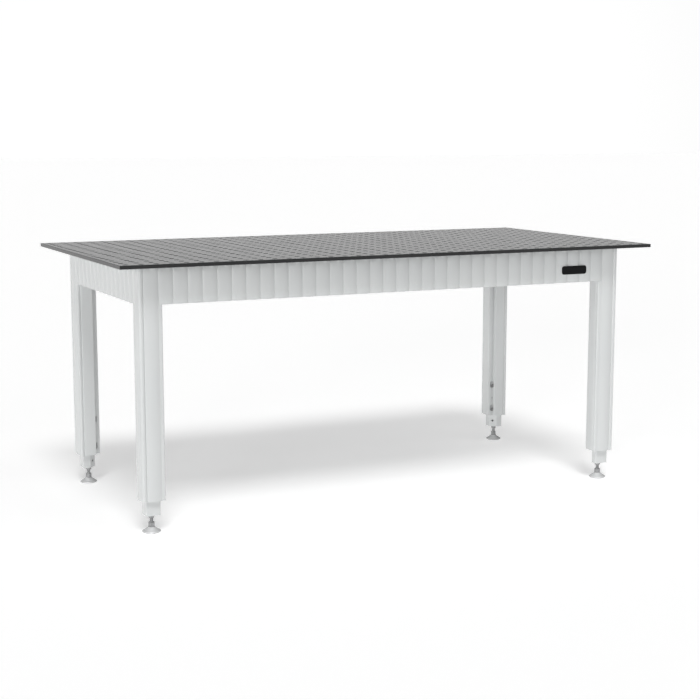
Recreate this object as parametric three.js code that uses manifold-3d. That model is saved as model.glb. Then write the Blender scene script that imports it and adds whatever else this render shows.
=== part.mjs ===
// Welding table: a perforated steel plate on a frame of fluted sheet steel, with four telescoping legs
// that each stand on a levelling foot. Millimetres, +Z up. The origin is on the floor under the middle
// of the plate, +X runs along the table's length and +Y towards its back.
import * as THREE from 'three';
import { mergeVertices } from 'three/addons/utils/BufferGeometryUtils.js';
import Module from 'manifold-3d';

const wasm = await Module();
wasm.setup();

// ---------------------------------------------------------------- driving dimensions
const GAP = 0.3;                                   // room left between pieces that touch
const PLATE = { length: 2000, depth: 1000, thickness: 12, top: 885 };
const CLAMP_HOLE = { radius: 8, spacing: 250, columns: 6, rows: 4, sides: 12 };
const FRAME = { halfLength: 918, halfDepth: 418, sheet: 3, apronHeight: 125, flange: 34, lap: 3 };
const FLUTE = { pitch: 50, depth: 6, steps: 3 };   // convex flutes with sharp valleys between them
const LEG = {
  half: 41,                                        // half the casing's width
  casingBottom: 108,
  valleyLow: -27,                                  // where a face's one whole flute starts and ends
  valleyHigh: 23,
  lipRadius: 5,                                    // corner between an outer and an inner face
  lipCentre: 30,
  cornerCentre: 30.4,                              // the outermost corner is one round bead
  cornerRadius: 8.75,
  notch: 20,                                       // square re-entrant corner that faces the table's middle
};
const INNER_LEG = { half: 25, chamfer: 24, wall: 4, bottom: 58, length: 400, holePitch: 50, holes: 6 };
const BOLT = { shankRadius: 3.9, headRadius: 6.5, headHeight: 8, length: 14, socketRadius: 3.4, socketDepth: 4, sides: 8 };
const BOLT_HEIGHTS = { lower: 132.5, upper: 232.5 };
const LEG_TRAVEL = 14;                             // how far the clamp bolts can climb in their slots
const GUIDE = { bottom: 110, height: 150, clearance: 0.4, corner: 14 };
const SPINDLE = { radius: 6, bottom: 12.3, length: 150 };
const NUT = { acrossFlats: 19, boreRadius: 6.4, lockHeight: 10, driveHeight: 15.5, driveBottom: 18 };
const FOOT = { rimRadius: 31.5, topRadius: 13, top: 17.7, padRadius: 29, padHeight: 1.7 };
const BRACKET = { thickness: 5, reach: 116, clearance: 0.6 };
const PLATE_SCREW = { fromCasing: 56, holeRadius: 4.6, depthInPlate: 8 };
const BEAM = { x: 300, width: 30, height: 60, wall: 3 };
const BADGE = { x: 723, z: 794, width: 108, height: 33, radius: 10, thickness: 1.2 };

const plateBottom = PLATE.top - PLATE.thickness;
const frameTop = plateBottom - GAP;
const apronBottom = frameTop - FRAME.apronHeight + GAP;
const legX = FRAME.halfLength - LEG.half;
const legY = FRAME.halfDepth - LEG.half;
const seamX = FRAME.halfLength - 2 * LEG.half - GAP;   // where an apron ends against a leg casing
const seamY = FRAME.halfDepth - 2 * LEG.half - GAP;

const CORNERS = [
  { name: 'front_left', x: -1, y: -1, turn: Math.PI },
  { name: 'front_right', x: 1, y: -1, turn: -Math.PI / 2 },
  { name: 'back_left', x: -1, y: 1, turn: Math.PI / 2 },
  { name: 'back_right', x: 1, y: 1, turn: 0 },
];

// ---------------------------------------------------------------- materials
const finish = (color, roughness, metalness) =>
  new THREE.MeshStandardMaterial({ color, roughness, metalness, flatShading: true });
const MATERIALS = {
  plate: finish(0x4a4c4f, 0.45, 0.8),
  frame: finish(0xd5d8d8, 0.5, 0.1),
  guide: finish(0x8f9396, 0.5, 0.4),
  blackSteel: finish(0x1d1e20, 0.45, 0.6),
  stainless: finish(0xb9bcc0, 0.25, 1.0),
  pad: finish(0x7d7f80, 0.9, 0.0),
  badge: finish(0x0c0c0d, 0.35, 0.1),
};

// ---------------------------------------------------------------- solids
const identity = new THREE.Matrix4();

function solid(geometry, matrix = identity) {
  const bare = geometry.clone().applyMatrix4(matrix);
  bare.deleteAttribute('normal');
  bare.deleteAttribute('uv');
  const merged = mergeVertices(bare, 1e-4);
  return new wasm.Manifold(new wasm.Mesh({
    numProp: 3,
    vertProperties: new Float32Array(merged.attributes.position.array),
    triVerts: new Uint32Array(merged.index.array),
  }));
}

function geometryOf(manifold) {
  const mesh = manifold.getMesh();
  const geometry = new THREE.BufferGeometry();
  geometry.setAttribute('position', new THREE.BufferAttribute(new Float32Array(mesh.vertProperties), 3));
  geometry.setIndex(new THREE.BufferAttribute(new Uint32Array(mesh.triVerts), 1));
  geometry.computeVertexNormals();
  return geometry;
}

function shapeOf(points, holes = []) {
  const shape = new THREE.Shape(points.map(([x, y]) => new THREE.Vector2(x, y)));
  for (const hole of holes) shape.holes.push(new THREE.Path(hole.map(([x, y]) => new THREE.Vector2(x, y))));
  return shape;
}

// An outline in the XY plane, drawn up from z = bottom.
function prism(points, bottom, height, holes = []) {
  const geometry = new THREE.ExtrudeGeometry(shapeOf(points, holes), { depth: height, bevelEnabled: false });
  return geometry.translate(0, 0, bottom);
}

function box(x0, x1, y0, y1, z0, z1) {
  const geometry = new THREE.BoxGeometry(x1 - x0, y1 - y0, z1 - z0);
  return geometry.translate((x0 + x1) / 2, (y0 + y1) / 2, (z0 + z1) / 2);
}

// A profile of [radius, height] points turned about the Z axis.
function turned(profile, sides) {
  const geometry = new THREE.LatheGeometry(profile.map(([r, z]) => new THREE.Vector2(r, z)), sides);
  return geometry.rotateX(Math.PI / 2);
}

// A ring of points whose sides stay outside the circle, so that a round bar of that radius passes.
function ring(x, y, radius, sides) {
  const reach = radius / Math.cos(Math.PI / sides);
  return Array.from({ length: sides }, (_, i) => {
    const angle = ((i + 0.5) / sides) * 2 * Math.PI;
    return [x + reach * Math.cos(angle), y + reach * Math.sin(angle)];
  });
}

function arc(x, y, radius, fromDegrees, toDegrees, steps) {
  return Array.from({ length: steps + 1 }, (_, i) => {
    const angle = THREE.MathUtils.degToRad(fromDegrees + ((toDegrees - fromDegrees) * i) / steps);
    return [x + radius * Math.cos(angle), y + radius * Math.sin(angle)];
  });
}

function mesh(name, geometry, material) {
  const result = new THREE.Mesh(geometry, material);
  result.name = name;
  return result;
}

// ---------------------------------------------------------------- flutes
const fluteRadius = ((FLUTE.pitch / 2) ** 2 + FLUTE.depth ** 2) / (2 * FLUTE.depth);

// How far the surface lies behind the crest plane, at a place along the face whose valleys are
// multiples of the pitch.
function fluteDrop(along) {
  const fromCrest = along - FLUTE.pitch * Math.floor(along / FLUTE.pitch) - FLUTE.pitch / 2;
  return fluteRadius - Math.sqrt(fluteRadius ** 2 - fromCrest ** 2);
}

// [along, drop] points from one place to another, with one point at each valley.
function flutedLine(from, to) {
  const step = FLUTE.pitch / FLUTE.steps;
  const points = [[from, fluteDrop(from)]];
  for (let i = Math.floor(from / step + 1e-6) + 1; i * step < to - 1e-6; i += 1) {
    points.push([i * step, fluteDrop(i * step)]);
  }
  points.push([to, fluteDrop(to - 1e-6)]);
  return points;
}

// ---------------------------------------------------------------- top plate
function clampHolePlaces() {
  const places = [];
  for (let column = 0; column < CLAMP_HOLE.columns; column += 1) {
    for (let row = 0; row < CLAMP_HOLE.rows; row += 1) {
      places.push([
        (column - (CLAMP_HOLE.columns - 1) / 2) * CLAMP_HOLE.spacing,
        (row - (CLAMP_HOLE.rows - 1) / 2) * CLAMP_HOLE.spacing,
      ]);
    }
  }
  return places;
}

const screwX = seamX - PLATE_SCREW.fromCasing;
const screwY = FRAME.halfDepth - FRAME.flange / 2 - FLUTE.depth / 2;

function topPlate() {
  const x = PLATE.length / 2;
  const y = PLATE.depth / 2;
  const outline = [[-x, -y], [x, -y], [x, y], [-x, y]];
  const holes = clampHolePlaces().map(([hx, hy]) => ring(hx, hy, CLAMP_HOLE.radius, CLAMP_HOLE.sides));
  let plate = solid(prism(outline, plateBottom, PLATE.thickness, holes));
  for (const corner of CORNERS) {
    const tapped = ring(corner.x * screwX, corner.y * screwY, PLATE_SCREW.holeRadius, 8);
    plate = plate.subtract(solid(prism(tapped, plateBottom - 5, PLATE_SCREW.depthInPlate + 6)));
  }
  return geometryOf(plate);
}

// ---------------------------------------------------------------- aprons
// The space that a leg casing and the gap around it take up, in the coordinates of an apron.
function casingRoom(end, crest, side) {
  const turn = side > 0 ? -Math.PI / 2 : Math.PI;
  const room = new THREE.Matrix4().makeRotationZ(turn);
  room.setPosition(side * (end + GAP + LEG.half), -crest + LEG.half, 0);
  return solid(prism(casingOutline(-GAP), apronBottom - 5, FRAME.apronHeight + 10), room);
}

// A fluted web with a flange along its top and its bottom, drawn along X with its crests towards -Y
// at y = -crest. Its ends lap a little over the rounded corners of the leg casings. The caller turns
// the apron to its side of the table.
function apron(end, crest, screwHoles) {
  const tip = end + GAP + FRAME.lap;
  const face = flutedLine(-tip, tip);
  const outside = face.map(([x, drop]) => [x, -crest + drop]);
  const inside = face.map(([x, drop]) => [x, -crest + drop + FRAME.sheet]);
  const flangeEdge = -crest + FRAME.flange;
  const block = [...outside, [tip, flangeEdge], [-tip, flangeEdge]];
  const hollow = [[-tip - 1, inside[0][1]], ...inside, [tip + 1, inside[inside.length - 1][1]],
    [tip + 1, flangeEdge + 1], [-tip - 1, flangeEdge + 1]];
  const height = frameTop - apronBottom;
  let beam = solid(prism(block, apronBottom, height))
    .subtract(solid(prism(hollow, apronBottom + FRAME.sheet, height - 2 * FRAME.sheet)))
    .subtract(casingRoom(end, crest, 1))
    .subtract(casingRoom(end, crest, -1));
  for (const [x, y] of screwHoles) {
    beam = beam.subtract(solid(prism(ring(x, y, PLATE_SCREW.holeRadius, 8), frameTop - 10, 20)));
  }
  return geometryOf(beam);
}

// ---------------------------------------------------------------- corner brackets and plate screws
// A flat gusset under the flanges, around the leg casing's inner corner. All corner pieces are drawn
// for the back right corner in leg coordinates, with the leg's axis at the origin.
const bracketTop = frameTop - FRAME.sheet - GAP;

function cornerBracket() {
  const near = -LEG.half - BRACKET.clearance;
  const web = LEG.half - FLUTE.depth - FRAME.sheet - BRACKET.clearance;
  const far = -LEG.half - BRACKET.reach;
  const flangeEdge = LEG.half - FRAME.flange;
  const outline = [[far, web], [far, flangeEdge], [flangeEdge, far], [web, far], [web, near], [near, near], [near, web]];
  const screw = ring(screwX - legX, screwY - legY, PLATE_SCREW.holeRadius, 8);
  const mirrored = screw.map(([x, y]) => [y, x]);
  return geometryOf(solid(prism(outline, bracketTop - BRACKET.thickness, BRACKET.thickness, [screw, mirrored])));
}

function plateScrew() {
  const seat = bracketTop - BRACKET.thickness - GAP;
  const tip = plateBottom + PLATE_SCREW.depthInPlate;
  const profile = [
    [0, seat - BOLT.headHeight + BOLT.socketDepth], [BOLT.socketRadius, seat - BOLT.headHeight + BOLT.socketDepth],
    [BOLT.socketRadius, seat - BOLT.headHeight], [BOLT.headRadius, seat - BOLT.headHeight],
    [BOLT.headRadius, seat], [BOLT.shankRadius, seat], [BOLT.shankRadius, tip], [0, tip],
  ];
  return turned(profile, BOLT.sides);
}

// ---------------------------------------------------------------- legs
// The casing's outline, anticlockwise from the end of the notch, set in from the outer skin by inset.
function casingOutline(inset) {
  const half = LEG.half - inset;
  const valley = LEG.half - FLUTE.depth - inset;
  const bead = LEG.cornerRadius - inset;
  const lip = LEG.lipRadius - inset;
  const notch = -LEG.half + LEG.notch + inset;
  const lipDepth = -LEG.half + LEG.lipRadius;
  const beadAngle = THREE.MathUtils.radToDeg(Math.asin((LEG.cornerCentre - LEG.valleyHigh) / LEG.cornerRadius));
  const crestPoints = flutedLine(0, FLUTE.pitch).map(([along, drop]) => [along + LEG.valleyLow, half - drop]);
  return [
    [notch, -half],
    ...arc(LEG.lipCentre, lipDepth, lip, -90, 17, 3),
    ...crestPoints.map(([along, out]) => [out, along]).slice(0, -1),
    [valley, LEG.valleyHigh],
    ...arc(LEG.cornerCentre, LEG.cornerCentre, bead, -beadAngle, 90 + beadAngle, 6).slice(1, -1),
    [LEG.valleyHigh, valley],
    ...crestPoints.reverse().slice(1),
    ...arc(lipDepth, LEG.lipCentre, lip, 73, 180, 3),
    [-half, notch],
    [notch, notch],
  ];
}

// A slot or hole along the leg's diagonal, through the notch: width across, from z0 to z1, starting
// at a distance from the axis towards the table's middle.
function diagonalSlot(width, z0, z1, nearest, farthest) {
  const radius = width / 2;
  const outline = z1 - z0 > width + 1
    ? [...arc(0, z0 + radius, radius, 180, 360, 4), ...arc(0, z1 - radius, radius, 0, 180, 4)]
    : ring(0, (z0 + z1) / 2, radius, 8);
  const geometry = new THREE.ExtrudeGeometry(shapeOf(outline), { depth: farthest - nearest, bevelEnabled: false });
  const stand = new THREE.Matrix4().makeRotationX(Math.PI / 2);             // outline upright, drawn along -Y
  const place = new THREE.Matrix4().makeTranslation(0, -nearest, 0);
  const turn = new THREE.Matrix4().makeRotationZ(-Math.PI / 4);             // -Y becomes the inward diagonal
  return solid(geometry, turn.multiply(place).multiply(stand));
}

const boltHeights = Object.values(BOLT_HEIGHTS);
const diagonal = Math.SQRT2;
const chamferDepth = ((2 * INNER_LEG.half - INNER_LEG.chamfer) / 2) * diagonal;   // axis to chamfer face
const seatDepth = (LEG.half - LEG.notch - FRAME.sheet - GAP) * diagonal;          // axis to the bolt's seat
const slotDown = BOLT.headRadius + 0.6;

function legCasing() {
  const height = frameTop - LEG.casingBottom;
  const inner = casingOutline(FRAME.sheet);
  let casing = solid(prism(casingOutline(0), LEG.casingBottom, height))
    .subtract(solid(prism(inner, LEG.casingBottom - 1, height + 2)));
  for (const z of boltHeights) {
    casing = casing.subtract(diagonalSlot(2 * slotDown, z - slotDown, z + slotDown + LEG_TRAVEL, 18, 45));
  }
  const sight = (boltHeights[0] + boltHeights[1]) / 2;
  casing = casing.subtract(diagonalSlot(6, sight - 3, sight + 3, 18, 45));
  return geometryOf(casing);
}

function pentagon(half, chamfer) {
  return [[-half + chamfer, -half], [half, -half], [half, half], [-half, half], [-half, -half + chamfer]];
}

// A smaller pentagon whose five sides all lie the same distance inside the outer one.
function insetPentagon(inset) {
  return pentagon(INNER_LEG.half - inset, INNER_LEG.chamfer - inset * (2 - diagonal));
}

// Fills the room between casing and inner leg, so that the leg slides without play.
function guideBlock() {
  const valley = LEG.half - FLUTE.depth - FRAME.sheet - GAP;
  const flat = LEG.half - FRAME.sheet - GAP;
  const notch = -LEG.half + LEG.notch + FRAME.sheet + GAP;
  const corner = GUIDE.corner;
  const bead = LEG.valleyHigh + 2;
  const outline = [
    [notch, -flat], [valley - corner, -flat], [valley, -flat + corner], [valley, bead], [bead, valley],
    [-flat + corner, valley], [-flat, valley - corner], [-flat, notch], [notch, notch],
  ];
  const bore = insetPentagon(-GUIDE.clearance);
  let block = solid(prism(outline, GUIDE.bottom, GUIDE.height, [bore]));
  for (const z of boltHeights) {
    const shank = BOLT.shankRadius + 0.6;
    block = block.subtract(diagonalSlot(2 * shank, z - shank, z + shank + LEG_TRAVEL, 10, 60));
    block = block.subtract(diagonalSlot(2 * slotDown, z - slotDown, z + slotDown + LEG_TRAVEL, seatDepth, 60));
  }
  return geometryOf(block);
}

function innerLeg() {
  const tube = solid(prism(insetPentagon(0), INNER_LEG.bottom, INNER_LEG.length, [insetPentagon(INNER_LEG.wall)]));
  let leg = tube;
  for (let i = -1; i < INNER_LEG.holes - 1; i += 1) {
    const z = BOLT_HEIGHTS.lower + i * INNER_LEG.holePitch;
    leg = leg.subtract(diagonalSlot(2 * BOLT.shankRadius + 1, z - 3, z + 3, chamferDepth - 10, chamferDepth + 5));
  }
  return geometryOf(leg);
}

function legEndPlate() {
  const outline = insetPentagon(INNER_LEG.wall + GAP);
  return prism(outline, INNER_LEG.bottom, 12, [ring(0, 0, NUT.boreRadius, 12)]);
}

// A socket-head screw, drawn along +Z from its head and then laid along the leg's inward diagonal.
function clampBolt(z) {
  const profile = [
    [0, BOLT.headHeight - BOLT.socketDepth], [BOLT.socketRadius, BOLT.headHeight - BOLT.socketDepth],
    [BOLT.socketRadius, BOLT.headHeight], [BOLT.headRadius, BOLT.headHeight], [BOLT.headRadius, 0],
    [BOLT.shankRadius, 0], [BOLT.shankRadius, -BOLT.length], [0, -BOLT.length],
  ].reverse();
  const geometry = turned(profile, BOLT.sides);
  const stand = new THREE.Matrix4().makeRotationX(Math.PI / 2);             // +Z becomes -Y
  const place = new THREE.Matrix4().makeTranslation(0, -(seatDepth + GAP), z);
  const turn = new THREE.Matrix4().makeRotationZ(-Math.PI / 4);
  return geometry.applyMatrix4(turn.multiply(place).multiply(stand));
}

// ---------------------------------------------------------------- levelling feet
function hexNut(bottom, height) {
  const hexagon = ring(0, 0, NUT.acrossFlats / 2, 6);
  return prism(hexagon, bottom, height, [ring(0, 0, NUT.boreRadius, 12)]);
}

function spindle() {
  const top = SPINDLE.bottom + SPINDLE.length;
  const tip = SPINDLE.radius - 1.2;
  return turned([[0, SPINDLE.bottom], [SPINDLE.radius, SPINDLE.bottom], [SPINDLE.radius, top - 1.2], [tip, top], [0, top]], 16);
}

function footBell() {
  const socket = NUT.boreRadius;
  return turned([
    [0, 7.5], [17, 7.5], [24, 5], [26, 2], [FOOT.rimRadius, 2], [FOOT.rimRadius, 4.6], [29, 6.6],
    [FOOT.topRadius + 5, 13.2], [FOOT.topRadius, FOOT.top], [socket, FOOT.top], [socket, 12], [0, 12],
  ], 16);
}

function footPad() {
  const edge = FOOT.padRadius - 0.8;
  return turned([
    [0, 0], [edge, 0], [FOOT.padRadius, 0.8], [FOOT.padRadius, FOOT.padHeight], [0, FOOT.padHeight],
  ], 16);
}

// ---------------------------------------------------------------- cross beams and badge
// A rectangular tube under the plate, notched at both ends to pass below the aprons' top flanges.
function crossBeam(x) {
  const end = FRAME.halfDepth - FLUTE.depth - FRAME.sheet - 2 * GAP - fluteDrop(0) + FLUTE.depth;
  const half = BEAM.width / 2;
  const flangeEdge = FRAME.halfDepth - FRAME.flange - GAP;
  const bottom = frameTop - BEAM.height;
  let beam = solid(box(x - half, x + half, -end, end, bottom, frameTop))
    .subtract(solid(box(x - half + BEAM.wall, x + half - BEAM.wall, -end - 1, end + 1, bottom + BEAM.wall, frameTop - BEAM.wall)));
  for (const side of [-1, 1]) {
    const y0 = side > 0 ? flangeEdge : -end - 1;
    const y1 = side > 0 ? end + 1 : -flangeEdge;
    beam = beam.subtract(solid(box(x - half - 1, x + half + 1, y0, y1, frameTop - FRAME.sheet - GAP, frameTop + 1)));
  }
  return geometryOf(beam);
}

function badge() {
  const x = BADGE.width / 2 - BADGE.radius;
  const z = BADGE.height / 2 - BADGE.radius;
  const outline = [
    ...arc(x, -z, BADGE.radius, -90, 0, 4), ...arc(x, z, BADGE.radius, 0, 90, 4),
    ...arc(-x, z, BADGE.radius, 90, 180, 4), ...arc(-x, -z, BADGE.radius, 180, 270, 4),
  ];
  const geometry = new THREE.ExtrudeGeometry(shapeOf(outline), { depth: BADGE.thickness, bevelEnabled: false });
  return geometry.rotateX(Math.PI / 2).translate(BADGE.x, -FRAME.halfDepth - GAP, BADGE.z);
}

// ---------------------------------------------------------------- assembly
const table = new THREE.Group();

table.add(mesh('top_plate', topPlate(), MATERIALS.plate));

const longScrews = [[-screwX, -screwY], [screwX, -screwY]];
const shortScrewX = screwX - legX + legY;
const shortScrews = [[-shortScrewX, -(screwY - legY + legX)], [shortScrewX, -(screwY - legY + legX)]];
const APRONS = [
  { name: 'front_apron', end: seamX, crest: FRAME.halfDepth, turn: 0, screws: longScrews },
  { name: 'back_apron', end: seamX, crest: FRAME.halfDepth, turn: Math.PI, screws: longScrews },
  { name: 'left_apron', end: seamY, crest: FRAME.halfLength, turn: -Math.PI / 2, screws: shortScrews },
  { name: 'right_apron', end: seamY, crest: FRAME.halfLength, turn: Math.PI / 2, screws: shortScrews },
];
for (const side of APRONS) {
  const piece = mesh(side.name, apron(side.end, side.crest, side.screws), MATERIALS.frame);
  piece.rotation.z = side.turn;
  table.add(piece);
}

for (const [name, x] of [['left_cross_beam', -BEAM.x], ['right_cross_beam', BEAM.x]]) {
  table.add(mesh(name, crossBeam(x), MATERIALS.frame));
}
table.add(mesh('badge', badge(), MATERIALS.badge));

for (const corner of CORNERS) {
  const leg = new THREE.Group();
  leg.position.set(corner.x * legX, corner.y * legY, 0);
  leg.rotation.z = corner.turn;
  const add = (name, geometry, material) => leg.add(mesh(`${corner.name}_${name}`, geometry, material));
  add('leg_casing', legCasing(), MATERIALS.frame);
  add('guide_block', guideBlock(), MATERIALS.guide);
  add('inner_leg', innerLeg(), MATERIALS.frame);
  add('leg_end_plate', legEndPlate(), MATERIALS.frame);
  for (const [place, z] of Object.entries(BOLT_HEIGHTS)) {
    add(`${place}_clamp_bolt`, clampBolt(z), MATERIALS.blackSteel);
  }
  add('lock_nut', hexNut(INNER_LEG.bottom - GAP - NUT.lockHeight, NUT.lockHeight), MATERIALS.stainless);
  add('foot_spindle', spindle(), MATERIALS.stainless);
  add('spindle_nut', hexNut(NUT.driveBottom, NUT.driveHeight), MATERIALS.stainless);
  add('foot_bell', footBell(), MATERIALS.stainless);
  add('foot_pad', footPad(), MATERIALS.pad);
  add('corner_bracket', cornerBracket(), MATERIALS.frame);
  table.add(leg);

  const screw = mesh(`${corner.name}_plate_screw`, plateScrew(), MATERIALS.blackSteel);
  screw.position.set(corner.x * screwX, corner.y * screwY, 0);
  table.add(screw);
}

export default table;
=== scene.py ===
"""Looks of the welding table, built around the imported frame. Metres, +Z up, the frame's own coordinates."""
import math

import bmesh
import bpy
from mathutils import Matrix, Vector


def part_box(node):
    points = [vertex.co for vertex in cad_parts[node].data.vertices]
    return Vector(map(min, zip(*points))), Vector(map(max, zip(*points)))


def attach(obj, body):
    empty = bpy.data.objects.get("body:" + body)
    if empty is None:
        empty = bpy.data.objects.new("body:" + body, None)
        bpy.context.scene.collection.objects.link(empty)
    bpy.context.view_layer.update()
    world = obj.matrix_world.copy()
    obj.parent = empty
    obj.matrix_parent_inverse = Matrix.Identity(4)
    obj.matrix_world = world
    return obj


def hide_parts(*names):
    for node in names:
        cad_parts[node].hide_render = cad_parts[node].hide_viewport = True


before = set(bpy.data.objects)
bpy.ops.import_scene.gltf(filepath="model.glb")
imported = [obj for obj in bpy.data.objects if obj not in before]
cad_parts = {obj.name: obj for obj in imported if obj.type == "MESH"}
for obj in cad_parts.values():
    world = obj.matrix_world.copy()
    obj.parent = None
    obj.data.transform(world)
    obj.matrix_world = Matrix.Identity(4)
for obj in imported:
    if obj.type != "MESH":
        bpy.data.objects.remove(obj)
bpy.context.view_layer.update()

MM = 0.001
SCENE = bpy.context.scene

# ---------------------------------------------------------------- driving dimensions
GAP = 0.3 * MM                       # room between pieces that touch
HOLE_RADIUS = 8 * MM
HOLE_PITCH = 50 * MM
HOLE_SIDES = 24                      # a multiple of 4, so that square and circle share their corners
HOLE_CHAMFER = 1.2 * MM
PLATE_CHAMFER = 0.8 * MM
SHEET = 3 * MM                       # thickness of the fluted sheet
FLANGE = 34 * MM
FLUTE_PITCH = 50 * MM
FLUTE_DEPTH = 6 * MM
FLUTE_STEPS = 14
LEG_HALF = 41 * MM
LEG_VALLEYS = (-27 * MM, 23 * MM)    # where a leg face's one whole flute starts and ends
LIP_CENTRE = (29 * MM, -35 * MM)     # round corner between an outer and an inner face
LIP_RADIUS = 6 * MM
GROOVE_OUTSIDE = ((17.9, -41), (19.5, -40.7), (21.0, -39.8), (22.3, -38.4))   # in mm, beside the lip
GROOVE_INSIDE = ((17.9, -38), (18.4, -37.9), (18.9, -37.4), (21.0, -35.4))
BEAD_CENTRE = 30.4 * MM              # the outermost corner is one round bead
BEAD_RADIUS = 8.75 * MM
NOTCH = 20 * MM                      # square re-entrant corner that faces the table's middle
NOTCH_ROUND = 2 * MM
LEG_TRAVEL = 14 * MM
BOLT_HEAD_RADIUS = 6.5 * MM
SCREW_HOLE_RADIUS = 4.6 * MM
SIGHT_HOLE_RADIUS = 3 * MM
BOLT_HEAD_HEIGHT = 8 * MM
BOLT_SHANK_RADIUS = 3.9 * MM
BOLT_LENGTH = 14 * MM
THREAD_PITCH = 1.75 * MM
TURNED_SIDES = 96
APRON_LAP = 10 * MM                  # how much longer an apron is at each end than its CAD node
SMOOTH = 30                          # edges sharper than this many degrees stay sharp
SMOOTH_FLUTES = 22
CORNERS = {
    "front_left": (-1, -1, 180),
    "front_right": (1, -1, -90),
    "back_left": (-1, 1, 90),
    "back_right": (1, 1, 0),
}

PLATE_LOW, PLATE_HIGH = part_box("top_plate")
CASING_LOW, CASING_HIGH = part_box("back_right_leg_casing")
INNER_LOW, INNER_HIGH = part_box("back_right_inner_leg")
LEG_X = (INNER_LOW.x + INNER_HIGH.x) / 2
LEG_Y = (INNER_LOW.y + INNER_HIGH.y) / 2
APRON_LOW, APRON_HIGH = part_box("front_apron")


# ---------------------------------------------------------------- mesh helpers
def new_object(name, bm, smooth_degrees=SMOOTH, material=None):
    """Turns a bmesh into an object, smooth except across edges sharper than the angle."""
    bmesh.ops.recalc_face_normals(bm, faces=bm.faces)
    mesh = bpy.data.meshes.new(name)
    bm.to_mesh(mesh)
    bm.free()
    mesh.shade_smooth()
    mesh.set_sharp_from_angle(angle=math.radians(smooth_degrees))
    piece = bpy.data.objects.new(name, mesh)
    SCENE.collection.objects.link(piece)
    if material is not None:
        mesh.materials.append(material)
    return piece


def skin_rings(bm, rings, closed=False, cap=True):
    """Joins rings of the same number of points with quads, and caps the first and last."""
    verts = [[bm.verts.new(p) for p in ring] for ring in rings]
    count = len(verts[0])
    pairs = list(zip(verts, verts[1:]))
    if closed:
        pairs.append((verts[-1], verts[0]))
    for first, second in pairs:
        for i in range(count):
            j = (i + 1) % count
            bm.faces.new((first[i], first[j], second[j], second[i]))
    if cap and not closed:
        bm.faces.new(list(reversed(verts[0])))
        bm.faces.new(verts[-1])
    return verts


def in_mm(points):
    return [(u * MM, v * MM) for u, v in points]


def circle_angles(sides):
    return [2 * math.pi * k / sides for k in range(sides)]


def ring(radius, z, sides, x=0.0, y=0.0):
    """Points on a level circle."""
    return [(x + radius * math.cos(a), y + radius * math.sin(a), z) for a in circle_angles(sides)]


def arc(x, y, radius, start, end, steps):
    """Points on an arc, with its angles in degrees."""
    angles = [math.radians(start + (end - start) * i / steps) for i in range(steps + 1)]
    return [(x + radius * math.cos(a), y + radius * math.sin(a)) for a in angles]


def rounded_outline(points, radius, steps=4):
    """Rounds each corner of a closed outline by the same radius."""
    result = []
    count = len(points)
    for i, point in enumerate(points):
        here = Vector(point)
        before = (Vector(points[i - 1]) - here).normalized()
        after = (Vector(points[(i + 1) % count]) - here).normalized()
        half_angle = before.angle(after) / 2
        reach = radius / math.tan(half_angle)
        start = here + before * reach
        end = here + after * reach
        centre = here + (before + after).normalized() * (radius / math.sin(half_angle))
        first = math.atan2(start.y - centre.y, start.x - centre.x)
        turn = (math.atan2(end.y - centre.y, end.x - centre.x) - first + math.pi) % (2 * math.pi) - math.pi
        result += arc(centre.x, centre.y, radius, math.degrees(first), math.degrees(first + turn), steps)
    return result


def shrink(outline, distance):
    """Moves each side of a closed outline inwards by a distance (outwards when negative)."""
    count = len(outline)
    area = sum(outline[i][0] * outline[(i + 1) % count][1] - outline[(i + 1) % count][0] * outline[i][1]
               for i in range(count))
    sign = 1 if area > 0 else -1
    result = []
    for i in range(count):
        here = Vector(outline[i])
        before = (here - Vector(outline[i - 1])).normalized()
        after = (Vector(outline[(i + 1) % count]) - here).normalized()
        n1 = Vector((-before.y, before.x)) * sign
        n2 = Vector((-after.y, after.x)) * sign
        middle = (n1 + n2).normalized()
        scale = distance / max(middle.dot(n1), 0.3)
        result.append(tuple(here + middle * scale))
    return result


def tube(name, outer, inner, z0, z1, edge, material=None, smooth_degrees=SMOOTH):
    """A prism with an outer and an inner outline of the same number of points, open at both ends."""
    outer_edge = shrink(outer, edge)
    inner_edge = shrink(inner, -edge)
    rings = [
        [(x, y, z0) for x, y in outer_edge],
        [(x, y, z0 + edge) for x, y in outer],
        [(x, y, z1 - edge) for x, y in outer],
        [(x, y, z1) for x, y in outer_edge],
        [(x, y, z1) for x, y in inner_edge],
        [(x, y, z1 - edge) for x, y in inner],
        [(x, y, z0 + edge) for x, y in inner],
        [(x, y, z0) for x, y in inner_edge],
    ]
    bm = bmesh.new()
    skin_rings(bm, rings, closed=True)
    return new_object(name, bm, smooth_degrees, material)


def revolve(name, profile, sides, material=None, smooth_degrees=35):
    """Turns (radius, z) points about the Z axis. Points on the axis become one vertex."""
    bm = bmesh.new()
    rings = []
    for r, z in profile:
        if r < 1e-9:
            rings.append([bm.verts.new((0, 0, z))])
        else:
            rings.append([bm.verts.new(point) for point in ring(r, z, sides)])
    for first, second in zip(rings, rings[1:]):
        for i in range(sides):
            j = (i + 1) % sides
            if len(first) == 1 and len(second) > 1:
                bm.faces.new((first[0], second[i], second[j]))
            elif len(second) == 1 and len(first) > 1:
                bm.faces.new((first[i], second[0], first[j]))
            elif len(first) > 1:
                bm.faces.new((first[i], second[i], second[j], first[j]))
    return new_object(name, bm, smooth_degrees, material)


def cut(piece, cutters, smooth_degrees=SMOOTH):
    """Subtracts the cutters from a piece and removes them."""
    for cutter in cutters:
        modifier = piece.modifiers.new("cut", "BOOLEAN")
        modifier.operation = "DIFFERENCE"
        modifier.solver = "EXACT"
        modifier.object = cutter
    apply_modifiers(piece, smooth_degrees)
    for cutter in cutters:
        bpy.data.objects.remove(cutter)
    return piece


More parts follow.
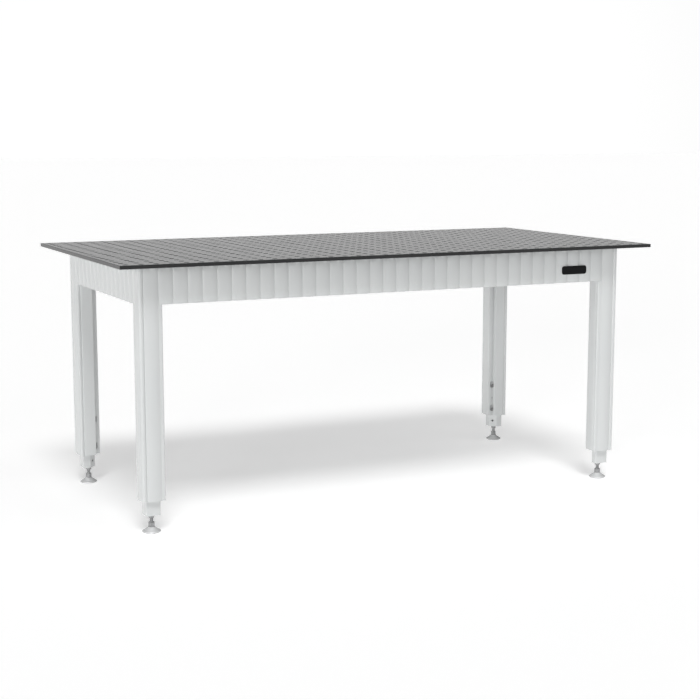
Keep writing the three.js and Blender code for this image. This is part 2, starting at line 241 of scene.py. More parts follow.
def apply_modifiers(piece, smooth_degrees=SMOOTH):
    """Makes a piece's modifiers part of its mesh."""
    bpy.context.view_layer.update()
    depsgraph = bpy.context.evaluated_depsgraph_get()
    mesh = bpy.data.meshes.new_from_object(piece.evaluated_get(depsgraph))
    piece.modifiers.clear()
    piece.data = mesh
    mesh.shade_smooth()
    mesh.set_sharp_from_angle(angle=math.radians(smooth_degrees))
    return piece


def softened(node, edge, material):
    """A copy of a CAD node with its flat sides made whole again and its edges broken."""
    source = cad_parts[node].data
    bm = bmesh.new()
    bm.from_mesh(source)
    bmesh.ops.remove_doubles(bm, verts=bm.verts, dist=1e-6)
    bmesh.ops.dissolve_limit(bm, angle_limit=math.radians(1), verts=bm.verts, edges=bm.edges)
    piece = new_object(node + "_soft", bm, SMOOTH, material)
    bevel = piece.modifiers.new("edge", "BEVEL")
    bevel.width = edge
    bevel.segments = 2
    bevel.limit_method = "ANGLE"
    bevel.angle_limit = math.radians(SMOOTH)
    return apply_modifiers(piece)


# ---------------------------------------------------------------- materials
def node_material(name):
    """A new material, its nodes, its links and its main shader."""
    material = bpy.data.materials.new(name)
    material.use_nodes = True
    nodes = material.node_tree.nodes
    return material, nodes, material.node_tree.links, nodes["Principled BSDF"]


def noise(nodes, links, scale, detail=4.0, stretch=(1, 1, 1)):
    """Noise in object coordinates, in metres, so that it doesn't depend on how a mesh is unwrapped."""
    place = nodes.new("ShaderNodeTexCoord")
    mapping = nodes.new("ShaderNodeMapping")
    mapping.inputs["Scale"].default_value = stretch
    texture = nodes.new("ShaderNodeTexNoise")
    texture.inputs["Scale"].default_value = scale
    texture.inputs["Detail"].default_value = detail
    links.new(place.outputs["Object"], mapping.inputs["Vector"])
    links.new(mapping.outputs["Vector"], texture.inputs["Vector"])
    return texture.outputs["Fac"]


def ramp(nodes, links, source, low_value, high_value, start=0.3, end=0.7):
    """Maps a 0 to 1 value onto a range."""
    mapper = nodes.new("ShaderNodeMapRange")
    mapper.inputs["From Min"].default_value = start
    mapper.inputs["From Max"].default_value = end
    mapper.inputs["To Min"].default_value = low_value
    mapper.inputs["To Max"].default_value = high_value
    links.new(source, mapper.inputs["Value"])
    return mapper.outputs["Result"]


def tint(nodes, links, factor, dark, light):
    """Mixes two colours by a factor."""
    mix = nodes.new("ShaderNodeMix")
    mix.data_type = "RGBA"
    mix.inputs["A"].default_value = (*dark, 1)
    mix.inputs["B"].default_value = (*light, 1)
    links.new(factor, mix.inputs["Factor"])
    return mix.outputs["Result"]


def bump(nodes, links, height, strength, distance):
    node = nodes.new("ShaderNodeBump")
    node.inputs["Strength"].default_value = strength
    node.inputs["Distance"].default_value = distance
    links.new(height, node.inputs["Height"])
    return node.outputs["Normal"]


def powder_coat():
    material, nodes, links, shader = node_material("powder_coat")
    broad = noise(nodes, links, 3.0)
    fine = noise(nodes, links, 900.0, 2.0)
    colour = tint(nodes, links, ramp(nodes, links, broad, 0, 1), (0.60, 0.617, 0.618), (0.63, 0.645, 0.642))
    links.new(colour, shader.inputs["Base Color"])
    links.new(ramp(nodes, links, fine, 0.36, 0.46), shader.inputs["Roughness"])
    shader.inputs["Specular IOR Level"].default_value = 0.8
    shader.inputs["Coat Weight"].default_value = 1.0
    shader.inputs["Coat Roughness"].default_value = 0.24
    links.new(bump(nodes, links, fine, 0.25, 0.00008), shader.inputs["Normal"])
    return material


def nitrided_plate():
    material, nodes, links, shader = node_material("nitrided_steel")
    broad = noise(nodes, links, 5.0, 6.0)
    rolled = noise(nodes, links, 60.0, 5.0, (1, 0.08, 1))
    fine = noise(nodes, links, 1500.0, 2.0)
    patches = ramp(nodes, links, broad, 0, 1)
    colour = tint(nodes, links, patches, (0.013, 0.0134, 0.014), (0.018, 0.0184, 0.019))
    links.new(colour, shader.inputs["Base Color"])
    shader.inputs["IOR"].default_value = 1.37
    links.new(ramp(nodes, links, rolled, 0.205, 0.23), shader.inputs["Roughness"])
    links.new(bump(nodes, links, fine, 0.15, 0.00005), shader.inputs["Normal"])
    return material


def turned_steel(name, colour, metallic, low_roughness, high_roughness):
    """Steel with fine rings round its Z axis."""
    material, nodes, links, shader = node_material(name)
    turned = noise(nodes, links, 400.0, 3.0, (0.05, 0.05, 1))
    shader.inputs["Base Color"].default_value = (*colour, 1)
    shader.inputs["Metallic"].default_value = metallic
    links.new(ramp(nodes, links, turned, low_roughness, high_roughness), shader.inputs["Roughness"])
    links.new(bump(nodes, links, turned, 0.06, 0.00003), shader.inputs["Normal"])
    return material


def black_oxide():
    material, nodes, links, shader = node_material("black_oxide")
    fine = noise(nodes, links, 700.0, 3.0)
    colour = tint(nodes, links, ramp(nodes, links, fine, 0, 1), (0.22, 0.22, 0.223), (0.27, 0.27, 0.274))
    links.new(colour, shader.inputs["Base Color"])
    shader.inputs["Metallic"].default_value = 0.3
    shader.inputs["Roughness"].default_value = 0.42
    links.new(bump(nodes, links, fine, 0.1, 0.00005), shader.inputs["Normal"])
    return material


def milled_aluminium():
    material, nodes, links, shader = node_material("milled_aluminium")
    marks = noise(nodes, links, 300.0, 3.0, (1, 1, 0.05))
    shader.inputs["Base Color"].default_value = (0.50, 0.51, 0.52, 1)
    shader.inputs["Metallic"].default_value = 0.9
    links.new(ramp(nodes, links, marks, 0.3, 0.5), shader.inputs["Roughness"])
    links.new(bump(nodes, links, marks, 0.1, 0.00005), shader.inputs["Normal"])
    return material


def pad_rubber():
    material, nodes, links, shader = node_material("pad_rubber")
    fine = noise(nodes, links, 1200.0, 3.0)
    colour = tint(nodes, links, ramp(nodes, links, fine, 0, 1), (0.17, 0.172, 0.175), (0.23, 0.233, 0.236))
    links.new(colour, shader.inputs["Base Color"])
    shader.inputs["Roughness"].default_value = 0.85
    links.new(bump(nodes, links, fine, 0.3, 0.0001), shader.inputs["Normal"])
    return material


def gloss_black():
    material, nodes, links, shader = node_material("gloss_black")
    fine = noise(nodes, links, 500.0, 2.0)
    shader.inputs["Base Color"].default_value = (0.003, 0.003, 0.0035, 1)
    shader.inputs["IOR"].default_value = 1.25
    links.new(ramp(nodes, links, fine, 0.4, 0.5), shader.inputs["Roughness"])
    return material


def pale_rim():
    material, nodes, links, shader = node_material("pale_rim")
    fine = noise(nodes, links, 500.0, 2.0)
    shader.inputs["Base Color"].default_value = (0.86, 0.87, 0.87, 1)
    links.new(ramp(nodes, links, fine, 0.3, 0.4), shader.inputs["Roughness"])
    return material


FRAME_PAINT = powder_coat()
PLATE_STEEL = nitrided_plate()
SPINDLE_STEEL = turned_steel("spindle_steel", (0.45, 0.455, 0.46), 0.4, 0.3, 0.4)
NUT_STEEL = turned_steel("nut_steel", (0.32, 0.323, 0.327), 0.4, 0.3, 0.4)
BELL_STEEL = turned_steel("turned_bell", (0.82, 0.825, 0.83), 0.2, 0.18, 0.26)
BLACK_STEEL = black_oxide()
ALUMINIUM = milled_aluminium()
RUBBER = pad_rubber()
BADGE_BLACK = gloss_black()
BADGE_RIM = pale_rim()


# ---------------------------------------------------------------- placing
def leg_matrix(corner):
    sx, sy, turn = CORNERS[corner]
    return Matrix.Translation((sx * LEG_X, sy * LEG_Y, 0)) @ Matrix.Rotation(math.radians(turn), 4, "Z")


def finish_piece(piece, body, slot, *nodes):
    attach(piece, body)
    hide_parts(*nodes)


def place_on_legs(make, part, body_part, slot):
    """Makes a leg piece once, in leg coordinates, and stands a copy at each corner."""
    pattern = make()
    for corner in CORNERS:
        node = f"{corner}_{part}"
        piece = bpy.data.objects.new(node + "_detail", pattern.data)
        SCENE.collection.objects.link(piece)
        piece.matrix_world = leg_matrix(corner)
        body = "frame" if body_part == "frame" else f"{corner}_{body_part}"
        finish_piece(piece, body, slot, node)
    bpy.data.objects.remove(pattern)


# ---------------------------------------------------------------- top plate
def clamp_plate():
    """The plate as square cells of the hole grid, each with one chamfered hole."""
    columns = round((PLATE_HIGH.x - PLATE_LOW.x) / HOLE_PITCH)
    rows = round((PLATE_HIGH.y - PLATE_LOW.y) / HOLE_PITCH)
    per_side = HOLE_SIDES // 4
    bm = bmesh.new()
    shared = {}

    def corner_vertex(i, j, z):
        """A vertex of the fine square lattice between the holes, shared by the cells that touch."""
        if (i, j, z) not in shared:
            x = PLATE_LOW.x + i * HOLE_PITCH / per_side
            y = PLATE_LOW.y + j * HOLE_PITCH / per_side
            x = min(max(x, PLATE_LOW.x + PLATE_CHAMFER), PLATE_HIGH.x - PLATE_CHAMFER)
            y = min(max(y, PLATE_LOW.y + PLATE_CHAMFER), PLATE_HIGH.y - PLATE_CHAMFER)
            shared[i, j, z] = bm.verts.new((x, y, z))
        return shared[i, j, z]

    def cell_border(column, row, z):
        i0, j0 = column * per_side, row * per_side
        half = per_side // 2
        places = []
        for k in range(HOLE_SIDES):                       # anticlockwise from the middle of the +X side
            side, step = divmod(k + half, per_side)
            side %= 4
            places.append([
                (i0 + per_side, j0 + step), (i0 + per_side - step, j0 + per_side),
                (i0, j0 + per_side - step), (i0 + step, j0),
            ][side])
        return [corner_vertex(i, j, z) for i, j in places]

    def circle(x, y, radius, z):
        return [bm.verts.new(point) for point in ring(radius, z, HOLE_SIDES, x, y)]

    for column in range(columns):
        for row in range(rows):
            x = PLATE_LOW.x + (column + 0.5) * HOLE_PITCH
            y = PLATE_LOW.y + (row + 0.5) * HOLE_PITCH
            wide = HOLE_RADIUS + HOLE_CHAMFER
            loops = [
                cell_border(column, row, PLATE_HIGH.z),
                circle(x, y, wide, PLATE_HIGH.z),
                circle(x, y, HOLE_RADIUS, PLATE_HIGH.z - HOLE_CHAMFER),
                circle(x, y, HOLE_RADIUS, PLATE_LOW.z + HOLE_CHAMFER),
                circle(x, y, wide, PLATE_LOW.z),
                cell_border(column, row, PLATE_LOW.z),
            ]
            for first, second in zip(loops, loops[1:]):
                for k in range(HOLE_SIDES):
                    m = (k + 1) % HOLE_SIDES
                    bm.faces.new((first[k], first[m], second[m], second[k]))

    last_i, last_j = columns * per_side, rows * per_side
    border = [(i, 0) for i in range(last_i)] + [(last_i, j) for j in range(last_j)]
    border += [(i, last_j) for i in range(last_i, 0, -1)] + [(0, j) for j in range(last_j, 0, -1)]
    sides = []
    for i, j in border:
        x = PLATE_LOW.x + i * HOLE_PITCH / per_side
        y = PLATE_LOW.y + j * HOLE_PITCH / per_side
        sides.append((x, y))
    rings = [
        [corner_vertex(i, j, PLATE_HIGH.z) for i, j in border],
        [bm.verts.new((x, y, PLATE_HIGH.z - PLATE_CHAMFER)) for x, y in sides],
        [bm.verts.new((x, y, PLATE_LOW.z + PLATE_CHAMFER)) for x, y in sides],
        [corner_vertex(i, j, PLATE_LOW.z) for i, j in border],
    ]
    for first, second in zip(rings, rings[1:]):
        for k in range(len(border)):
            m = (k + 1) % len(border)
            bm.faces.new((first[k], first[m], second[m], second[k]))
    return new_object("clamping_plate", bm, SMOOTH, PLATE_STEEL)


finish_piece(clamp_plate(), "frame", "plate", "top_plate")


# ---------------------------------------------------------------- flutes
FLUTE_RADIUS = ((FLUTE_PITCH / 2) ** 2 + FLUTE_DEPTH ** 2) / (2 * FLUTE_DEPTH)


def flute_drop(along):
    """How far the surface lies behind the crest plane. The valleys are at multiples of the pitch."""
    from_crest = along - FLUTE_PITCH * math.floor(along / FLUTE_PITCH) - FLUTE_PITCH / 2
    return FLUTE_RADIUS - math.sqrt(FLUTE_RADIUS ** 2 - from_crest ** 2)


def lip_outline(inset, steps):
    """From an inner face, over its groove and round the lip, to the start of the outer face's flute."""
    x, y = LIP_CENTRE
    groove = GROOVE_INSIDE if inset > 0 else GROOVE_OUTSIDE
    return in_mm(groove) + arc(x, y, LIP_RADIUS - inset, 208, 360, steps)


def casing_outline(inset, lip_steps=14):
    """The leg casing's outline in leg coordinates, anticlockwise, set in from the outer skin."""
    half = LEG_HALF - inset
    low_valley, high_valley = LEG_VALLEYS
    notch = -LEG_HALF + NOTCH + inset
    notch_round = NOTCH_ROUND - inset * 0.4               # a little tighter on the sheet's inner skin
    bead_angle = math.degrees(math.asin((BEAD_CENTRE - high_valley) / BEAD_RADIUS))
    steps = [k * FLUTE_PITCH / FLUTE_STEPS for k in range(FLUTE_STEPS)]
    flute = [(half - flute_drop(s), low_valley + s) for s in steps]
    valley = half - FLUTE_DEPTH
    step = arc(notch + notch_round, -half + notch_round, notch_round, 180, 270, 3)
    lip = lip_outline(inset, lip_steps)
    bead = arc(BEAD_CENTRE, BEAD_CENTRE, BEAD_RADIUS - inset, -bead_angle, 90 + bead_angle, 18)
    side = step + lip + flute + [(valley, high_valley)]
    return side + bead[1:-1] + [(y, x) for x, y in reversed(side)] + [(notch, notch)]


def diagonal_cutter(width, z0, z1, near, far):
    """A slot-shaped cutter along the leg's diagonal towards the table's middle."""
    radius = width / 2
    outline = arc(0, z0 + radius, radius, 180, 360, 10) + arc(0, z1 - radius, radius, 0, 180, 10)
    if z1 - z0 - width < 0.1 * MM:
        outline = arc(0, (z0 + z1) / 2, radius, 0, 345, 23)
    bm = bmesh.new()
    skin_rings(bm, [[(x, -near, z) for x, z in outline], [(x, -far, z) for x, z in outline]])
    cutter = new_object("cutter", bm)
    cutter.data.transform(Matrix.Rotation(math.radians(-45), 4, "Z"))
    return cutter


def bolt_heights():
    heights = []
    for place in ("lower", "upper"):
        low_corner, high_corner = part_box(f"back_right_{place}_clamp_bolt")
        heights.append((low_corner.z + high_corner.z) / 2)
    return heights


BOLT_HEIGHTS = bolt_heights()


def leg_casing():
    piece = tube("casing", casing_outline(0), casing_outline(SHEET), CASING_LOW.z, CASING_HIGH.z,
                 0.5 * MM, FRAME_PAINT, SMOOTH_FLUTES)
    reach = BOLT_HEAD_RADIUS + 0.6 * MM
    near, far = 18 * MM, 45 * MM
    cutters = [diagonal_cutter(2 * reach, z - reach, z + reach + LEG_TRAVEL, near, far) for z in BOLT_HEIGHTS]
    middle = sum(BOLT_HEIGHTS) / 2
    sight = SIGHT_HOLE_RADIUS
    cutters.append(diagonal_cutter(2 * sight, middle - sight, middle + sight, near, far))
    return cut(piece, cutters, SMOOTH_FLUTES)


def apron(name, end, crest, turn):
    """A fluted web with two flanges, drawn with its crests towards -Y and then turned to its side.
    Its ends lap a little over the rounded corners of the leg casings."""
    step = FLUTE_PITCH / FLUTE_STEPS
    first = math.floor(-end / step) + 1
    stations = [-end]
    inside = end - 0.05 * MM
    stations += [k * step for k in range(first, -first + 1) if -inside < k * step < inside]
    stations.append(end)
    edge = 0.7 * MM
    z0, z1 = APRON_LOW.z, APRON_HIGH.z
    inner = -crest + FLANGE
    rings = []
    for x in stations:
        face = -crest + flute_drop(min(max(x, -end + 1e-7), end - 1e-7))
        back = face + SHEET
        profile = [
            (face + edge, z0), (face + 0.2 * edge, z0 + 0.2 * edge), (face, z0 + edge),
            (face, z1 - edge), (face + 0.2 * edge, z1 - 0.2 * edge), (face + edge, z1),
            (inner, z1), (inner, z1 - SHEET), (back, z1 - SHEET),
            (back, z0 + SHEET), (inner, z0 + SHEET), (inner, z0),
        ]
        rings.append([(x, y, z) for y, z in profile])
    bm = bmesh.new()
    skin_rings(bm, rings)
    piece = new_object(name + "_detail", bm, SMOOTH_FLUTES, FRAME_PAINT)
    cutters = []
    leg_along, leg_across = (LEG_X, LEG_Y) if abs(math.cos(turn)) > 0.5 else (LEG_Y, LEG_X)
    for side, angle in ((-1, 180), (1, -90)):
        outline = shrink(casing_outline(0, 6), -GAP)
        bm = bmesh.new()
        skin_rings(bm, [[(x, y, z0 - 0.01) for x, y in outline], [(x, y, z1 + 0.01) for x, y in outline]])
        cutter = new_object("cutter", bm)
        place = Matrix.Translation((side * leg_along, -leg_across, 0))
        cutter.data.transform(place @ Matrix.Rotation(math.radians(angle), 4, "Z"))
        cutters.append(cutter)
    for x, y in screw_places(turn):
        if -crest < y < inner:
            bm = bmesh.new()
            circle = arc(x, y, SCREW_HOLE_RADIUS, 0, 345, 23)
            skin_rings(bm, [[(u, v, z1 - 0.01) for u, v in circle], [(u, v, z1 + 0.01) for u, v in circle]])
            cutters.append(new_object("cutter", bm))
    cut(piece, cutters, SMOOTH_FLUTES)
    piece.data.transform(Matrix.Rotation(turn, 4, "Z"))
    finish_piece(piece, "frame", "frame", name)


def screw_places(turn):
    """Where the plate screws stand, in the coordinates of an apron that is yet to be turned."""
    places = []
    for corner in CORNERS:
        low_corner, high_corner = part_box(f"{corner}_plate_screw")
        centre = Matrix.Rotation(-turn, 4, "Z") @ ((low_corner + high_corner) / 2)
        places.append((centre.x, centre.y))
    return places


def apron_end(node, axis):
    """Half of an apron's length."""
    low_corner, high_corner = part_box(node)
    return (high_corner[axis] - low_corner[axis]) / 2 + APRON_LAP


half_length, half_depth = LEG_X + LEG_HALF, LEG_Y + LEG_HALF
apron("front_apron", apron_end("front_apron", 0), half_depth, 0)
apron("back_apron", apron_end("back_apron", 0), half_depth, math.pi)
apron("left_apron", apron_end("left_apron", 1), half_length, -math.pi / 2)
apron("right_apron", apron_end("right_apron", 1), half_length, math.pi / 2)
place_on_legs(leg_casing, "leg_casing", "frame", "frame")


# ---------------------------------------------------------------- inner legs
INNER_HALF = 25 * MM
INNER_CHAMFER = 24 * MM
INNER_WALL = 4 * MM
HOLE_STEP = 50 * MM
INNER_HOLES = 6


def pentagon(inset):
    """The inner leg's outline: a square with its inward corner cut off."""
    half = INNER_HALF - inset
    chamfer = INNER_CHAMFER - inset * (2 - math.sqrt(2))
    return [(-half + chamfer, -half), (half, -half), (half, half), (-half, half), (-half, -half + chamfer)]


def inner_leg():
    outer = rounded_outline(pentagon(0), 3 * MM, 5)
    inner = rounded_outline(pentagon(INNER_WALL), 0.8 * MM, 5)
    piece = tube("inner", outer, inner, INNER_LOW.z, INNER_HIGH.z, 0.5 * MM, FRAME_PAINT)
    face = (2 * INNER_HALF - INNER_CHAMFER) / math.sqrt(2)
    cutters = []
    for k in range(-1, INNER_HOLES - 1):
        z = BOLT_HEIGHTS[0] + k * HOLE_STEP
        cutters.append(diagonal_cutter(9 * MM, z - 4.5 * MM, z + 4.5 * MM, face - 8 * MM, face + 6 * MM))
    return cut(piece, cutters)


place_on_legs(inner_leg, "inner_leg", "leg", "frame")


# ---------------------------------------------------------------- screws and nuts
def hexagon_reach(flat, angle):
    """From a hexagon's middle to its outline at an angle. Half its width across flats is given."""
    return flat / math.cos((angle % (math.pi / 3)) - math.pi / 6)


def socket_screw(name, head_radius, head_height, shank_radius, length):
    """A socket-head screw along +Z, with its head's underside at z = 0 and its thread below."""
    sides = 48
    socket = 3.0 * MM
    depth = 4 * MM
    edge = 0.8 * MM
    bm = bmesh.new()

    def circle(radius, z):
        return [bm.verts.new(point) for point in ring(radius, z, sides)]

    def hexagon(flat, z):
        reach = [(a, hexagon_reach(flat, a)) for a in circle_angles(sides)]
        return [bm.verts.new((r * math.cos(a), r * math.sin(a), z)) for a, r in reach]

    rings = [
        hexagon(socket, head_height - depth), hexagon(socket, head_height - 0.3 * MM),
        circle(socket * 1.2, head_height), circle(head_radius - edge, head_height),
        circle(head_radius - 0.25 * edge, head_height - 0.3 * edge),
        circle(head_radius, head_height - edge),
        circle(head_radius, 0.4 * MM), circle(head_radius - 0.4 * MM, 0),
        circle(shank_radius, 0), circle(shank_radius, -length + 1 * MM),
        circle(shank_radius - 1 * MM, -length),
    ]
    for first, second in zip(rings, rings[1:]):
        for k in range(sides):
            m = (k + 1) % sides
            bm.faces.new((first[k], first[m], second[m], second[k]))
    bm.faces.new(rings[0])
    bm.faces.new(list(reversed(rings[-1])))
    return new_object(name, bm, SMOOTH, BLACK_STEEL)


SEAT_DEPTH = (LEG_HALF - NOTCH - SHEET - GAP) * math.sqrt(2) + GAP


def clamp_bolt(height):
    """A screw along the leg's diagonal, with its head on the guide block."""
    screw = socket_screw("bolt", BOLT_HEAD_RADIUS, BOLT_HEAD_HEIGHT, BOLT_SHANK_RADIUS, BOLT_LENGTH)
    stand = Matrix.Rotation(math.pi / 2, 4, "X")
    place = Matrix.Translation((0, -SEAT_DEPTH, height))
    turn = Matrix.Rotation(-math.pi / 4, 4, "Z")
    screw.data.transform(turn @ place @ stand)
    return screw


place_on_legs(lambda: clamp_bolt(BOLT_HEIGHTS[0]), "lower_clamp_bolt", "leg", "black_steel")
place_on_legs(lambda: clamp_bolt(BOLT_HEIGHTS[1]), "upper_clamp_bolt", "leg", "black_steel")


def hex_nut(node):
    """A hexagon nut with both faces turned to a 30 degree chamfer, and a chamfered bore."""
    low_corner, high_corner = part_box("back_right_" + node)
    z0, z1 = low_corner.z, high_corner.z
    flat = 9.5 * MM                                       # half the width across its flats
    bore = 6.25 * MM
    mouth = 0.8 * MM                                      # chamfer of the bore
    face = 0.94 * flat
    bm = bmesh.new()
    rings = [[] for _ in range(8)]
    for a in circle_angles(TURNED_SIDES):
        r = hexagon_reach(flat, a)
        drop = (r - face) * math.tan(math.radians(30))
        points = [(bore, z1 - mouth), (bore + mouth, z1), (face, z1), (r, z1 - drop),
                  (r, z0 + drop), (face, z0), (bore + mouth, z0), (bore, z0 + mouth)]
        for outline, (radius, z) in zip(rings, points):
            outline.append((radius * math.cos(a), radius * math.sin(a), z))
    skin_rings(bm, rings, closed=True)
    return new_object(node, bm, 20, NUT_STEEL)


place_on_legs(lambda: hex_nut("lock_nut"), "lock_nut", "leg", "stainless")
place_on_legs(lambda: hex_nut("spindle_nut"), "spindle_nut", "spindle", "stainless")


# ---------------------------------------------------------------- levelling feet
def spindle():
    """An M12 bar: plain at the bottom, where it turns in the bell, and threaded above the drive nut."""
    low_corner, high_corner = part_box("back_right_foot_spindle")
    _, nut_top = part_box("back_right_spindle_nut")
    radius = (high_corner.x - low_corner.x) / 2
    root = radius - 0.95 * MM
    crest, valley = 0.12, 0.16                            # flat parts of the thread, as parts of its pitch
    sides = 32
    per_turn = 8
    start = nut_top.z + 0.5 * MM
    end = high_corner.z - 1.5 * MM
    rings = [ring(0.8 * radius, low_corner.z, sides), ring(radius, low_corner.z + 1 * MM, sides),
             ring(radius, start - 1 * MM, sides)]
    count = math.ceil((end - start) / THREAD_PITCH * per_turn)
    for k in range(count + 1):
        z = start + (end - start) * k / count
        fade = max(min(1.0, (z - start) / THREAD_PITCH, (end - z) / THREAD_PITCH + 0.2), 0)
        turn = []
        for a in circle_angles(sides):
            phase = (z / THREAD_PITCH - a / (2 * math.pi)) % 1.0
            wave = min(1.0, max(0.0, (abs(phase - 0.5) * 2 - crest) / (1 - crest - valley)))
            r = radius - (radius - root) * wave * fade
            turn.append((r * math.cos(a), r * math.sin(a), z))
        rings.append(turn)
    rings.append(ring(radius - 1.2 * MM, high_corner.z, sides))
    bm = bmesh.new()
    skin_rings(bm, rings)
    return new_object("spindle", bm, 40, SPINDLE_STEEL)


def foot_bell():
    """A turned stainless bell with a slightly hollow flank and a rolled rim."""
    low_corner, top_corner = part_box("back_right_foot_bell")
    top = top_corner.z
    rim = (top_corner.x - low_corner.x) / 2
    neck = 13 * MM
    flank_steps = 12
    flank = []
    for k in range(flank_steps + 1):
        t = k / flank_steps
        r = neck + (rim - 2.2 * MM - neck) * t
        z = top - 1.2 * MM - (top - 7.1 * MM) * (1 - (1 - t) ** 1.1)
        flank.append((r, z))
    hollow = in_mm([(0, 7.5), (17, 7.5), (24, 5), (26, 2.2)])
    rolled = [(rim - back * MM, z * MM) for back, z in ((0.8, 2), (0.2, 2.3), (0, 3), (0.2, 3.9), (1, 4.7))]
    shoulder = [(neck - 0.3 * MM, top - 0.3 * MM), (neck - 1.2 * MM, top)]
    socket = [(6.9 * MM, top), (6.4 * MM, top - 0.5 * MM), (6.4 * MM, 12 * MM), (0, 12 * MM)]
    return revolve("bell", hollow + rolled + flank[::-1] + shoulder + socket, TURNED_SIDES, BELL_STEEL)


def foot_pad():
    """A thin disc that stands on the floor with a ring."""
    low_corner, high_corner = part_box("back_right_foot_pad")
    radius = (high_corner.x - low_corner.x) / 2
    top = high_corner.z
    profile = in_mm([(0, 0.4), (18, 0.4), (19, 0)])
    profile += [(radius - 0.8 * MM, 0), (radius - 0.2 * MM, 0.3 * MM), (radius, 0.8 * MM)]
    profile += [(radius, top - 0.3 * MM), (radius - 0.3 * MM, top), (0, top)]
    return revolve("pad", profile, TURNED_SIDES, RUBBER)


place_on_legs(spindle, "foot_spindle", "spindle", "stainless")
place_on_legs(foot_bell, "foot_bell", "foot", "stainless")
place_on_legs(foot_pad, "foot_pad", "foot", "pad")


# ---------------------------------------------------------------- hidden pieces
def soften(node, body, slot, edge, material):
    finish_piece(softened(node, edge, material), body, slot, node)


for beam in ("left_cross_beam", "right_cross_beam"):
    soften(beam, "frame", "frame", 0.6 * MM, FRAME_PAINT)
for corner in CORNERS:
    soften(f"{corner}_corner_bracket", "frame", "frame", 0.5 * MM, FRAME_PAINT)
    soften(f"{corner}_leg_end_plate", f"{corner}_leg", "frame", 0.4 * MM, FRAME_PAINT)
    soften(f"{corner}_guide_block", "frame", "guide", 0.3 * MM, ALUMINIUM)


def plate_screws():
    """The four screws that hold the plate down, with their heads under the corner brackets."""
    for corner in CORNERS:
        node = f"{corner}_plate_screw"
        low_corner, high_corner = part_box(node)
        length = high_corner.z - low_corner.z - BOLT_HEAD_HEIGHT
        head_radius = BOLT_HEAD_RADIUS - GAP
        piece = socket_screw(node + "_detail", head_radius, BOLT_HEAD_HEIGHT, 3.8 * MM, length)
        piece.data.transform(Matrix.Rotation(math.pi, 4, "X"))
        centre = (low_corner + high_corner) / 2
        piece.location = (centre.x, centre.y, low_corner.z + BOLT_HEAD_HEIGHT)
        finish_piece(piece, "frame", "black_steel", node)


plate_screws()


# ---------------------------------------------------------------- badge
def badge():
    """A plain black plate with rounded corners and a thin pale rim."""
    low_corner, high_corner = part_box("badge")
    centre = (low_corner + high_corner) / 2
    half_x = (high_corner.x - low_corner.x) / 2
    half_z = (high_corner.z - low_corner.z) / 2
    depth = high_corner.y - low_corner.y
    rim = 0.6 * MM

    def outline(inset):
        x, z = half_x - inset, half_z - inset
        return rounded_outline([(-x, -z), (x, -z), (x, z), (-x, z)], 10 * MM - inset, 8)

    back = centre.y + depth / 2
    front = centre.y - depth / 2
    rings = [
        [(x, back, z) for x, z in outline(0)],
        [(x, front + 0.3 * MM, z) for x, z in outline(0)],
        [(x, front, z) for x, z in outline(0.3 * MM)],
        [(x, front, z) for x, z in outline(rim)],
        [(x, front + 0.25 * MM, z) for x, z in outline(rim + 0.2 * MM)],
    ]
    bm = bmesh.new()
    skin_rings(bm, rings)
    piece = new_object("badge_detail", bm, SMOOTH, BADGE_RIM)
    piece.data.materials.append(BADGE_BLACK)
    for face in piece.data.polygons:
        middle = face.center
        flat = abs(face.normal.y) > 0.9
        if flat and len(face.vertices) > 4 and middle.y < centre.y:
            face.material_index = 1
    piece.data.transform(Matrix.Translation((centre.x, 0, centre.z)))
    finish_piece(piece, "frame", "badge", "badge")


badge()


# ---------------------------------------------------------------- stage, light and camera
BEHIND = (0.43, 0.903, 0)                # away from the camera
LEFT = (-0.903, 0.43, 0)
HORIZON_FADE = (0.10, 0.30)              # heights in the sky, as sines, between which its light fades out
CAMERA_PLACE = (-2.28289, -4.80700, PLATE_HIGH.z + 0.41419)
CAMERA_YAW = 25.618
CAMERA_PITCH = 8.642
CAMERA_LENS = 74.73


def floor(glow):
    """A white studio floor. Its own glow keeps the shadow under the table light and even."""
    material, _, _, shader = node_material("stage")
    shader.inputs["Base Color"].default_value = (0.9, 0.9, 0.9, 1)
    shader.inputs["Roughness"].default_value = 1.0
    shader.inputs["Specular IOR Level"].default_value = 0.0
    shader.inputs["Emission Color"].default_value = (1, 1, 1, 1)
    shader.inputs["Emission Strength"].default_value = glow
    bm = bmesh.new()
    bmesh.ops.create_grid(bm, x_segments=1, y_segments=1, size=60)
    new_object("floor", bm, SMOOTH, material)


def soft_sun(name, direction, irradiance, degrees):
    """A distant light that comes from a direction and looks this many degrees wide."""
    data = bpy.data.lights.new(name, "SUN")
    data.energy = irradiance
    data.angle = math.radians(degrees)
    light = bpy.data.objects.new(name, data)
    SCENE.collection.objects.link(light)
    light.rotation_euler = Vector(direction).to_track_quat("Z", "Y").to_euler()


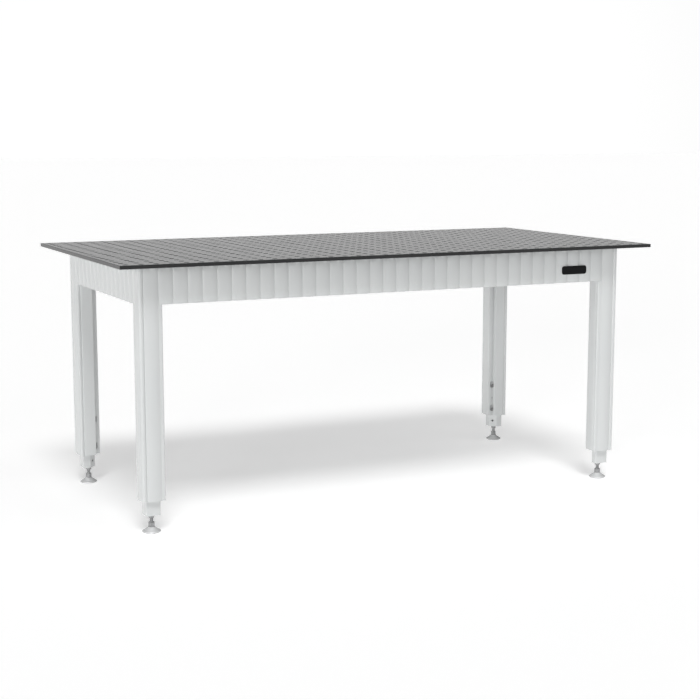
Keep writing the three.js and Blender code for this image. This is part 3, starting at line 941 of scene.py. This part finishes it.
def studio_world(behind, left):
    """A white horizon behind the table, a dimmer one to its left, and no light from anywhere else."""
    world = bpy.data.worlds.new("studio")
    SCENE.world = world
    world.use_nodes = True
    nodes, links = world.node_tree.nodes, world.node_tree.links
    place = nodes.new("ShaderNodeTexCoord")
    axes = nodes.new("ShaderNodeSeparateXYZ")
    links.new(place.outputs["Generated"], axes.inputs["Vector"])
    fade = ramp(nodes, links, axes.outputs["Z"], 1, 0, *HORIZON_FADE)
    total = None
    for facing, strength in ((BEHIND, behind), (LEFT, left)):
        lobe = nodes.new("ShaderNodeVectorMath")
        lobe.operation = "DOT_PRODUCT"
        lobe.inputs[1].default_value = facing
        links.new(place.outputs["Generated"], lobe.inputs[0])
        front = ramp(nodes, links, lobe.outputs["Value"], 0, 1, 0, 1)
        square = multiply(nodes, links, front, front)
        scaled = multiply(nodes, links, square, strength)
        if total is None:
            total = scaled
        else:
            both = nodes.new("ShaderNodeMath")
            links.new(total, both.inputs[0])
            links.new(scaled, both.inputs[1])
            total = both.outputs["Value"]
    background = nodes["Background"]
    background.inputs["Color"].default_value = (1, 1, 1, 1)
    links.new(multiply(nodes, links, total, fade), background.inputs["Strength"])


def multiply(nodes, links, first, second):
    node = nodes.new("ShaderNodeMath")
    node.operation = "MULTIPLY"
    for socket, value in zip(node.inputs, (first, second)):
        if isinstance(value, (int, float)):
            socket.default_value = value
        else:
            links.new(value, socket)
    return node.outputs["Value"]


def low_light(name, azimuth, irradiance, degrees, rise=0.12):
    """A soft light just above the horizon. Its azimuth is counted from the front towards the right."""
    a = math.radians(azimuth)
    soft_sun(name, (math.sin(a), -math.cos(a), rise), irradiance, degrees)


def camera():
    """From the front left, a little above the plate."""
    data = bpy.data.cameras.new("camera")
    data.sensor_width = 36
    data.lens = CAMERA_LENS
    data.clip_end = 200
    view = bpy.data.objects.new("camera", data)
    SCENE.collection.objects.link(view)
    view.location = CAMERA_PLACE
    view.rotation_euler = (math.radians(90 - CAMERA_PITCH), 0, math.radians(-CAMERA_YAW))
    SCENE.camera = view


floor(0.51)
studio_world(1.04, 0.4)
soft_sun("key", (-0.17, -0.575, 0.885), 1.42, 20)
soft_sun("fill", (0.35, -0.35, 0.9), 0.2, 30)
low_light("left", -103, 0.66, 20)
low_light("front_left", -42, 0.92, 16)
low_light("front_right", 22, 0.46, 60)
camera()
SCENE.view_settings.view_transform = "Standard"
